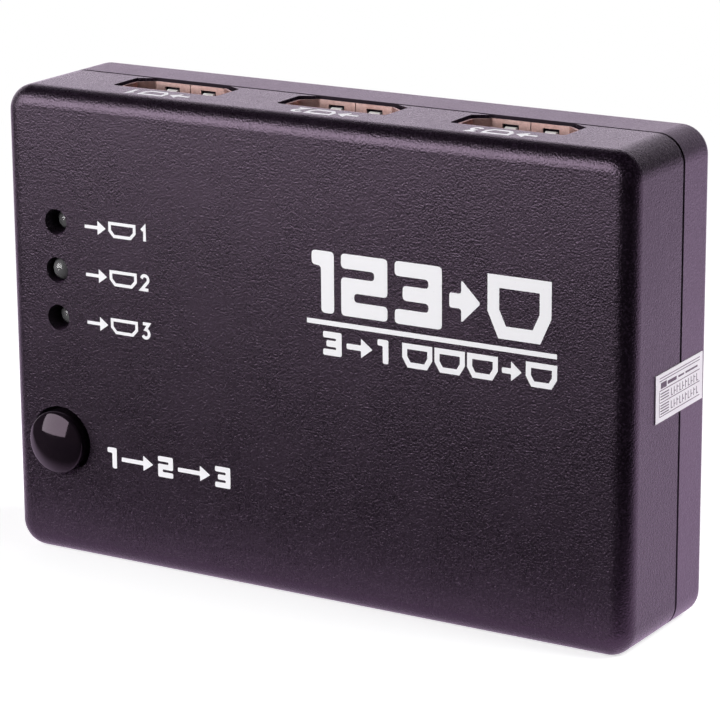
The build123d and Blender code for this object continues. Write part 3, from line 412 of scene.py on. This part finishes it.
def even_shading(carried):
    """Shade a turned form smoothly across its pole and seam, with its edges kept sharp."""
    tree = bpy.data.node_groups.new("own_normals", "GeometryNodeTree")
    for in_out in ("INPUT", "OUTPUT"):
        tree.interface.new_socket("Geometry", in_out=in_out, socket_type="NodeSocketGeometry")
    given = tree.nodes.new("NodeGroupInput")
    removed = node(tree, "GeometryNodeRemoveAttribute", Name="custom_normal")
    result = tree.nodes.new("NodeGroupOutput")
    tree.links.new(given.outputs[0], removed.inputs["Geometry"])
    tree.links.new(removed.outputs[0], result.inputs[0])
    carried.modifiers.new("own_normals", "NODES").node_group = tree
    carried.modifiers.new("weld", "WELD").merge_threshold = WELD_WITHIN * MM
    carried.modifiers.new("edges", "EDGE_SPLIT").split_angle = math.radians(SHARP_FROM)


even_shading(nodes["button_cap"])


# Outlines for the printing, in millimetres

def stroked(path, width, closed=False):
    """Outline loops of a line of that width along a path, with mitred corners."""
    points = [Vector(p) for p in path]
    count = len(points)
    left = []
    right = []
    for i, point in enumerate(points):
        before = points[i - 1] if (closed or i > 0) else None
        after = points[(i + 1) % count] if (closed or i < count - 1) else None
        directions = []
        if before is not None:
            directions.append((point - before).normalized())
        if after is not None:
            directions.append((after - point).normalized())
        mean = sum(directions, Vector((0, 0))).normalized()
        side = Vector((-mean.y, mean.x))
        reach = width / 2 / max(0.4, side.dot(Vector((-directions[0].y, directions[0].x))))
        left.append(point + side * reach)
        right.append(point - side * reach)
    if closed:
        return [left, right]
    return [left + right[::-1]]


def arc(cx, cy, rx, ry, start, end, steps=10):
    """Points along an ellipse's arc, angles in degrees."""
    turns = [math.radians(start + (end - start) * i / steps) for i in range(steps + 1)]
    return [(cx + rx * math.cos(a), cy + ry * math.sin(a)) for a in turns]


def moved(loops, x, y, scale_x=1.0, scale_y=None):
    """Loops scaled and then moved."""
    scale_y = scale_x if scale_y is None else scale_y
    return [[(x + p[0] * scale_x, y + p[1] * scale_y) for p in loop] for loop in loops]


def eased(loop, radius, steps=3):
    """Round the corners of a closed loop a little."""
    made = []
    for i, point in enumerate(loop):
        corner = Vector(point)
        before = Vector(loop[i - 1])
        after = Vector(loop[(i + 1) % len(loop)])
        room = min(radius, (before - corner).length * 0.45, (after - corner).length * 0.45)
        start = corner + (before - corner).normalized() * room
        end = corner + (after - corner).normalized() * room
        for k in range(steps + 1):
            t = k / steps
            made.append(tuple(start * (1 - t) ** 2 + corner * 2 * t * (1 - t) + end * t ** 2))
    return made


def round_digit(number, height, line):
    """Slim round digit, its lower left corner at the origin."""
    h = height - line
    w = 0.56 * h
    paths = {
        1: [(0.18 * w, 0.74 * h), (0.62 * w, h), (0.62 * w, 0)],
        2: arc(w / 2, 0.72 * h, w / 2, 0.28 * h, 168, -38) + [(0, 0), (w, 0)],
        3: [(0.06 * w, h), (0.94 * w, h), (0.46 * w, 0.60 * h)]
           + arc(0.46 * w, 0.30 * h, 0.50 * w, 0.30 * h, 70, -152),
    }
    return moved(stroked(paths[number], line), line / 2, line / 2)


def block_digit(number, width, height, line):
    """Heavy square digit, its lower left corner at the origin."""
    w, h, t, m = width, height, line, height / 2
    shapes = {
        1: [(w - t, 0), (w, 0), (w, h), (0, h), (0, h - t), (w - t, h - t)],
        2: [(0, h), (w, h), (w, m - t / 2), (t, m - t / 2), (t, t), (w, t), (w, 0), (0, 0),
            (0, m + t / 2), (w - t, m + t / 2), (w - t, h - t), (0, h - t)],
        3: [(0, h), (w, h), (w, 0), (0, 0), (0, t), (w - t, t), (w - t, m - t / 2),
            (t * 0.6, m - t / 2), (t * 0.6, m + t / 2), (w - t, m + t / 2), (w - t, h - t), (0, h - t)],
    }
    return [eased(shapes[number], t * 0.3)]


def arrow(length, height, line, head):
    """Straight arrow that points right, about its middle height."""
    outline = [(0, -line / 2), (length - head, -line / 2), (length - head, -height / 2), (length, 0),
               (length - head, height / 2), (length - head, line / 2), (0, line / 2)]
    return [eased(outline, line * 0.2)]


def port_outline(width, height, line):
    """Plain outline of a socket's mouth, wide side up, its lower left corner at the origin."""
    w = width / 2 - line / 2
    h = height - line
    path = [(-w, h), (w, h), (w, 0.42 * h), (0.66 * w, 0), (-0.66 * w, 0), (-w, 0.42 * h)]
    return moved(stroked(path, line, True), width / 2, line / 2)


def bar(x, y, width, height):
    """Plain rectangle."""
    return [[(x, y), (x + width, y), (x + width, y + height), (x, y + height)]]


INK_T = 0.02
INK_SUNK = 0.01


def printed(name, loops, place, look, thick=INK_T):
    """Thin solid of ink from outlines, laid on a surface by a placing matrix in millimetres."""
    curve = bpy.data.curves.new(name + "_outline", "CURVE")
    curve.dimensions = "2D"
    curve.fill_mode = "BOTH"
    curve.extrude = (thick + INK_SUNK) / 2
    for loop in loops:
        spline = curve.splines.new("POLY")
        spline.points.add(len(loop) - 1)
        for point, (u, v) in zip(spline.points, loop):
            point.co = (u, v, 0, 1)
        spline.use_cyclic_u = True
    holder = bpy.data.objects.new(name + "_outline", curve)
    bpy.context.scene.collection.objects.link(holder)
    bpy.context.view_layer.update()
    graph = bpy.context.evaluated_depsgraph_get()
    mesh = bpy.data.meshes.new_from_object(holder.evaluated_get(graph))
    bpy.data.objects.remove(holder)
    lift = Matrix.Translation((0, 0, (thick - INK_SUNK) / 2))
    mesh.transform(Matrix.Scale(MM, 4) @ place @ lift)
    shape = bmesh.new()
    shape.from_mesh(mesh)
    bmesh.ops.remove_doubles(shape, verts=shape.verts, dist=0.002 * MM)
    bmesh.ops.recalc_face_normals(shape, faces=shape.faces)
    shape.to_mesh(mesh)
    shape.free()
    mesh.name = name
    mesh.materials.clear()
    mesh.materials.append(look)
    piece = bpy.data.objects.new(name, mesh)
    bpy.context.scene.collection.objects.link(piece)
    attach(piece, "case")


def surface(origin, across, up):
    """Placing matrix for a surface: its origin and its two directions."""
    a = Vector(across)
    u = Vector(up)
    out = a.cross(u)
    return Matrix.Translation(origin) @ Matrix((a, u, out)).transposed().to_4x4()


FRONT = surface((0, FRONT_Y, MID_Z), (1, 0, 0), (0, 0, 1))


# Printing on the front, in millimetres; an arrow is its length, height, line and head

ROW_START = 4.45
ROW_H = 2.2
ROW_LINE = 0.40
ROW_ARROW = (3.2, 1.8, 0.42, 1.25)
ROW_PORT_X = 3.6
ROW_PORT_W = 4.1
ROW_PORT_H = 2.0
ROW_DIGIT_X = 8.2

for number, lamp in enumerate(LAMP_MIDS, 1):
    left = lamp.x + ROW_START
    low = lamp.z - MID_Z - ROW_H / 2
    port = port_outline(ROW_PORT_W, ROW_PORT_H, ROW_LINE)
    loops = moved(arrow(*ROW_ARROW), left, low + ROW_H / 2)
    loops += moved(port, left + ROW_PORT_X, low + (ROW_H - ROW_PORT_H) / 2)
    loops += moved(round_digit(number, ROW_H, ROW_LINE), left + ROW_DIGIT_X, low)
    printed(f"lamp_mark_{number}", loops, FRONT, WHITE_INK)

BUTTON_ROW_START = 7.2
BUTTON_ROW_DROP = 2.45
BUTTON_ROW_H = 2.7
BUTTON_ROW_GAP = 0.75
BUTTON_LINE = 0.68
BUTTON_DIGIT_WS = (1.4, 2.25, 2.25)
BUTTON_ARROW = (4.8, 2.0, 0.55, 1.5)

loops = []
left = BUTTON_MID.x + BUTTON_ROW_START
low = BUTTON_MID.z - MID_Z - BUTTON_ROW_DROP
for number, width in enumerate(BUTTON_DIGIT_WS, 1):
    loops += moved(block_digit(number, width, BUTTON_ROW_H, BUTTON_LINE), left, low)
    left += width + BUTTON_ROW_GAP
    if number < len(BUTTON_DIGIT_WS):
        loops += moved(arrow(*BUTTON_ARROW), left, low + BUTTON_ROW_H / 2)
        left += BUTTON_ARROW[0] + BUTTON_ROW_GAP
printed("button_mark", loops, FRONT, WHITE_INK)

MARK_LEFT = 1.3
MARK_LOW = 6.8
MARK_H = 7.6
MARK_LINE = 1.8
MARK_DIGITS = ((1, 0.0, 3.1), (2, 4.1, 6.4), (3, 11.5, 6.4))
MARK_ARROW_X = 18.9
MARK_ARROW = (4.2, 5.2, 1.8, 2.6)
MARK_PORT_X = 24.0
MARK_PORT_W = 8.4
MARK_PORT_LINE = 1.55

loops = []
for number, along, width in MARK_DIGITS:
    loops += moved(block_digit(number, width, MARK_H, MARK_LINE), MARK_LEFT + along, MARK_LOW)
loops += moved(arrow(*MARK_ARROW), MARK_LEFT + MARK_ARROW_X, MARK_LOW + MARK_H / 2)
loops += moved(port_outline(MARK_PORT_W, MARK_H, MARK_PORT_LINE), MARK_LEFT + MARK_PORT_X, MARK_LOW)
printed("front_mark_upper", loops, FRONT, WHITE_INK)

RULE_LEFT = 0.55
RULE_LOW = 5.3
RULE_L = 33.9
RULE_H = 0.6

printed("front_mark_rule", bar(RULE_LEFT, RULE_LOW, RULE_L, RULE_H), FRONT, WHITE_INK)

LOWER_LEFT = 2.8
LOWER_LOW = 1.6
LOWER_H = 2.95
LOWER_LINE = 0.78
LOWER_DIGITS = ((3, 0.0, 2.6), (1, 7.6, 1.5))
LOWER_ARROWS = ((3.3, (3.6, 2.4, 0.68, 1.6)), (24.45, (2.6, 2.4, 0.68, 1.4)))
LOWER_PORT_XS = (11.0, 15.4, 19.8, 27.6)
LOWER_PORT_W = 4.1
LOWER_PORT_LINE = 0.68

loops = []
for number, along, width in LOWER_DIGITS:
    loops += moved(block_digit(number, width, LOWER_H, LOWER_LINE), LOWER_LEFT + along, LOWER_LOW)
for along, sizes in LOWER_ARROWS:
    loops += moved(arrow(*sizes), LOWER_LEFT + along, LOWER_LOW + LOWER_H / 2)
for along in LOWER_PORT_XS:
    port = port_outline(LOWER_PORT_W, LOWER_H, LOWER_PORT_LINE)
    loops += moved(port, LOWER_LEFT + along, LOWER_LOW)
printed("front_mark_lower", loops, FRONT, WHITE_INK)


# Printing on the inlet side, read from behind

INLET_MARK_SHIFT = 1.0
INLET_MARK_DEPTH = 4.1
INLET_LINE = 0.5
INLET_ARROW_X = -4.2
INLET_ARROW = (2.8, 2.3, 0.5, 1.3)
INLET_PORT_X = -1.0
INLET_PORT_W = 3.7
INLET_PORT_H = 2.4
INLET_DIGIT_X = 3.2
INLET_DIGIT_H = 2.5

for number, x in enumerate(INLET_XS, 1):
    origin = (x + INLET_MARK_SHIFT, FRONT_Y + INLET_MARK_DEPTH, TOP_Z)
    port = port_outline(INLET_PORT_W, INLET_PORT_H, INLET_LINE)
    digit = round_digit(number, INLET_DIGIT_H, INLET_LINE)
    loops = moved(arrow(*INLET_ARROW), INLET_ARROW_X, 0)
    loops += moved(port, INLET_PORT_X, -INLET_PORT_H / 2)
    loops += moved(digit, INLET_DIGIT_X, -INLET_DIGIT_H / 2)
    printed(f"inlet_mark_{number}", loops, surface(origin, (-1, 0, 0), (0, -1, 0)), WHITE_INK)


# Print on the seal: rules and plain bars, in millimetres from the seal's middle

SEAL_TILT = 1.0
SEAL_INK_T = 0.012
RULE_T = 0.09
SEAL_RULE_ZS = (2.35, 2.02, 0.85, -0.62, -2.3)
SEAL_RULE_START = -5.2
SEAL_RULE_L = 10.6
UPRIGHT_X = -5.3
UPRIGHT_T = 0.08
UPRIGHTS = ((-0.5, 1.3), (-2.15, 1.48))
TICK_ROW_ZS = (-0.38, -1.95)
TICK_COUNT = 10
TICK_PITCH = 0.75
TICK_START = -2.2
LINE_ZS = (0.42, 0.08, -0.26, -1.0, -1.34, -1.68, -2.02)
LINE_START = -4.95
LINE_L = 2.2
LINE_T = 0.13
HEAD_BARS = ((-4.9, 1.1, 1.5, 0.72), (-3.1, 1.25, 2.3, 0.42), (-0.3, 1.35, 1.5, 0.22),
             (1.6, 1.35, 3.2, 0.22))

SEAL_PLACE = (surface((SEAL_HIGH.x, SEAL_MID.y, SEAL_MID.z), (0, 1, 0), (0, 0, 1))
              @ Matrix.Rotation(math.radians(SEAL_TILT), 4, "Z"))
loops = []
for v in SEAL_RULE_ZS:
    loops += bar(SEAL_RULE_START, v, SEAL_RULE_L, RULE_T)
for v, tall in UPRIGHTS:
    loops += bar(UPRIGHT_X, v, UPRIGHT_T, tall)
printed("seal_rules", loops, SEAL_PLACE, GREY_INK, thick=SEAL_INK_T)

loops = []
for v in TICK_ROW_ZS:
    for k in range(TICK_COUNT):
        u = TICK_START + TICK_PITCH * k
        loops += bar(u, v, 0.13, 0.95)
        loops += bar(u + 0.2, v + 0.3 * (k % 3), 0.26, 0.12)
for v in LINE_ZS:
    loops += bar(LINE_START, v, LINE_L, LINE_T)
for sizes in HEAD_BARS:
    loops += bar(*sizes)
printed("seal_bars", loops, SEAL_PLACE, GREY_INK, thick=SEAL_INK_T)


# Floor, in metres

def backdrop_rays(tree, path):
    """1 for camera, glossy and transmission rays, else 0."""
    first = combined(tree, "MAXIMUM", path.outputs["Is Camera Ray"], path.outputs["Is Glossy Ray"])
    return combined(tree, "MAXIMUM", first, path.outputs["Is Transmission Ray"])


FLOOR_R = 1.6
FLOOR_SEGMENTS = 96
FLOOR_SHADES = ((0.84, 0.84, 0.85), (0.88, 0.88, 0.88))
FLOOR_TOOTH = 1.2
FADE_START = 0.10
FADE_END = 0.30
LIFT = 0.55
FLOOR_HAZE = (0.95, 0.76, 1.0)
WHITE = (1.0, 1.0, 1.0)
BLACK_CLOTH = (0.03, 0.03, 0.03, 1)
CLOTH_EDGES = ((Vector((0, 1, 0)), -0.024, -0.012), (Vector((-0.52, 0.854, 0)), -0.055, -0.030))


def pale_floor():
    """Pale floor that keeps the object's shadow and fades to the white backdrop.

    A black cloth on the camera's side, which the camera doesn't see, keeps the front dark.
    """
    made = bpy.data.materials.new("pale_floor")
    made.use_nodes = True
    tree = made.node_tree
    tree.nodes.clear()
    output = tree.nodes.new("ShaderNodeOutputMaterial")
    path = tree.nodes.new("ShaderNodeLightPath")
    where = position(tree)
    shade = blended(tree, noise(tree, where, FLOOR_TOOTH, 3.0, 0.5), *FLOOR_SHADES)
    glow = blended(tree, path.outputs["Is Camera Ray"], FLOOR_HAZE, WHITE)
    matt = node(tree, "ShaderNodeBsdfDiffuse")
    tree.links.new(tinted(tree, shade, glow), matt.inputs["Color"])
    lift = node(tree, "ShaderNodeEmission", Strength=LIFT)
    tree.links.new(glow, lift.inputs["Color"])
    lit = tree.nodes.new("ShaderNodeAddShader")
    tree.links.new(matt.outputs[0], lit.inputs[0])
    tree.links.new(lift.outputs[0], lit.inputs[1])
    white = node(tree, "ShaderNodeEmission", Strength=1.0)
    tree.links.new(glow, white.inputs["Color"])
    distance = tree.nodes.new("ShaderNodeVectorMath")
    distance.operation = "LENGTH"
    tree.links.new(where, distance.inputs[0])
    fade = spread(tree, distance.outputs["Value"], FADE_START, FADE_END, 0, 1, True)
    faded = mixed(tree, fade, lit.outputs[0], white.outputs[0])
    seen = mixed(tree, backdrop_rays(tree, path), matt.outputs[0], faded)
    laid = None
    for direction, covered_at, bare_at in CLOTH_EDGES:
        reach = reach_along(tree, where, direction)
        part = spread(tree, reach, covered_at, bare_at, 1, 0, True)
        laid = part if laid is None else combined(tree, "MAXIMUM", laid, part)
    unseen = combined(tree, "SUBTRACT", 1.0, path.outputs["Is Camera Ray"])
    cloth = node(tree, "ShaderNodeBsdfDiffuse", Color=BLACK_CLOTH)
    covered = mixed(tree, combined(tree, "MULTIPLY", laid, unseen), seen, cloth.outputs[0])
    tree.links.new(covered, output.inputs["Surface"])
    return made


shape = bmesh.new()
bmesh.ops.create_circle(shape, cap_ends=True, cap_tris=False, segments=FLOOR_SEGMENTS, radius=FLOOR_R)
floor_mesh = bpy.data.meshes.new("floor")
shape.to_mesh(floor_mesh)
shape.free()
floor = bpy.data.objects.new("floor", floor_mesh)
bpy.context.scene.collection.objects.link(floor)
floor.data.materials.append(pale_floor())


# World: a bright low wall behind the object and a dark room on the camera's side

ROOM_TOWARDS = Vector((-0.60, 0.80, 0.0))
ROOM_EDGE = (0.50, 0.88)
ROOM_BRIGHT = 1.46
ROOM_DARK = 0.02
ROOM_HAZE = (0.98, 0.89, 1.0, 1)
CEILING = 0.06
CEILING_EDGE = (0.32, 0.52)


def studio():
    """World that is white to the camera and lights the object softly from behind."""
    world = bpy.data.worlds.new("studio")
    world.use_nodes = True
    tree = world.node_tree
    tree.nodes.clear()
    output = tree.nodes.new("ShaderNodeOutputWorld")
    white = node(tree, "ShaderNodeBackground", Color=(*WHITE, 1), Strength=1.0)
    room = node(tree, "ShaderNodeBackground", Color=ROOM_HAZE)
    direction = tree.nodes.new("ShaderNodeTexCoord").outputs["Generated"]
    behind = spread(tree, reach_along(tree, direction, ROOM_TOWARDS), *ROOM_EDGE, ROOM_DARK, 1.0, True)
    ceiling = spread(tree, split(tree, direction)[2], *CEILING_EDGE, 1.0, CEILING, True)
    strength = combined(tree, "MULTIPLY", combined(tree, "MULTIPLY", behind, ceiling), ROOM_BRIGHT)
    tree.links.new(strength, room.inputs["Strength"])
    path = tree.nodes.new("ShaderNodeLightPath")
    shown = mixed(tree, path.outputs["Is Camera Ray"], room.outputs[0], white.outputs[0])
    tree.links.new(shown, output.inputs["Surface"])
    return world


bpy.context.scene.world = studio()


# Lamps, in metres

def area_lamp(name, direction, distance, size, radiance):
    """Soft rectangular lamp, in metres, that faces the object from a direction."""
    lamp = bpy.data.lights.new(name, "AREA")
    lamp.shape = "RECTANGLE"
    lamp.size, lamp.size_y = size
    lamp.energy = radiance * math.pi * size[0] * size[1]
    made = bpy.data.objects.new(name, lamp)
    centre = Vector((0, 0, MID_Z * MM))
    back = Vector(direction).normalized()
    made.location = centre + back * distance
    made.rotation_mode = "QUATERNION"
    made.rotation_quaternion = (-back).to_track_quat("-Z", "Y")
    bpy.context.scene.collection.objects.link(made)
    return made


area_lamp("softbox_left", direction=(-0.52, -0.82, 0.30), distance=0.50, size=(0.50, 0.32), radiance=6.5)
fill = area_lamp("fill_right", direction=(0.80, 0.30, 0.62), distance=0.50, size=(0.36, 0.30), radiance=6.8)
fill.visible_glossy = False


# Camera, in millimetres

YAW = math.radians(31.31)
PITCH = math.radians(15.44)
ROLL = math.radians(-0.40)
SENSOR_W = 36.0
LENS = 167.7
CAMERA_PLACE = (208.23, -338.08, 138.26)

camera = bpy.data.cameras.new("camera")
camera.sensor_width = SENSOR_W
camera.lens = LENS
camera.clip_start = 0.01
camera.clip_end = 20.0
camera_object = bpy.data.objects.new("camera", camera)
bpy.context.scene.collection.objects.link(camera_object)
ahead = Vector((-math.sin(YAW) * math.cos(PITCH), math.cos(YAW) * math.cos(PITCH), -math.sin(PITCH)))
level = Vector((math.cos(YAW), math.sin(YAW), 0))
upright = level.cross(ahead)
right = level * math.cos(ROLL) + upright * math.sin(ROLL)
top = upright * math.cos(ROLL) - level * math.sin(ROLL)
turned = Matrix((right, top, -ahead)).transposed().to_4x4()
camera_object.matrix_world = Matrix.Translation(Vector(CAMERA_PLACE) * MM) @ turned
bpy.context.scene.camera = camera_object

bpy.context.scene.view_settings.view_transform = "Standard"
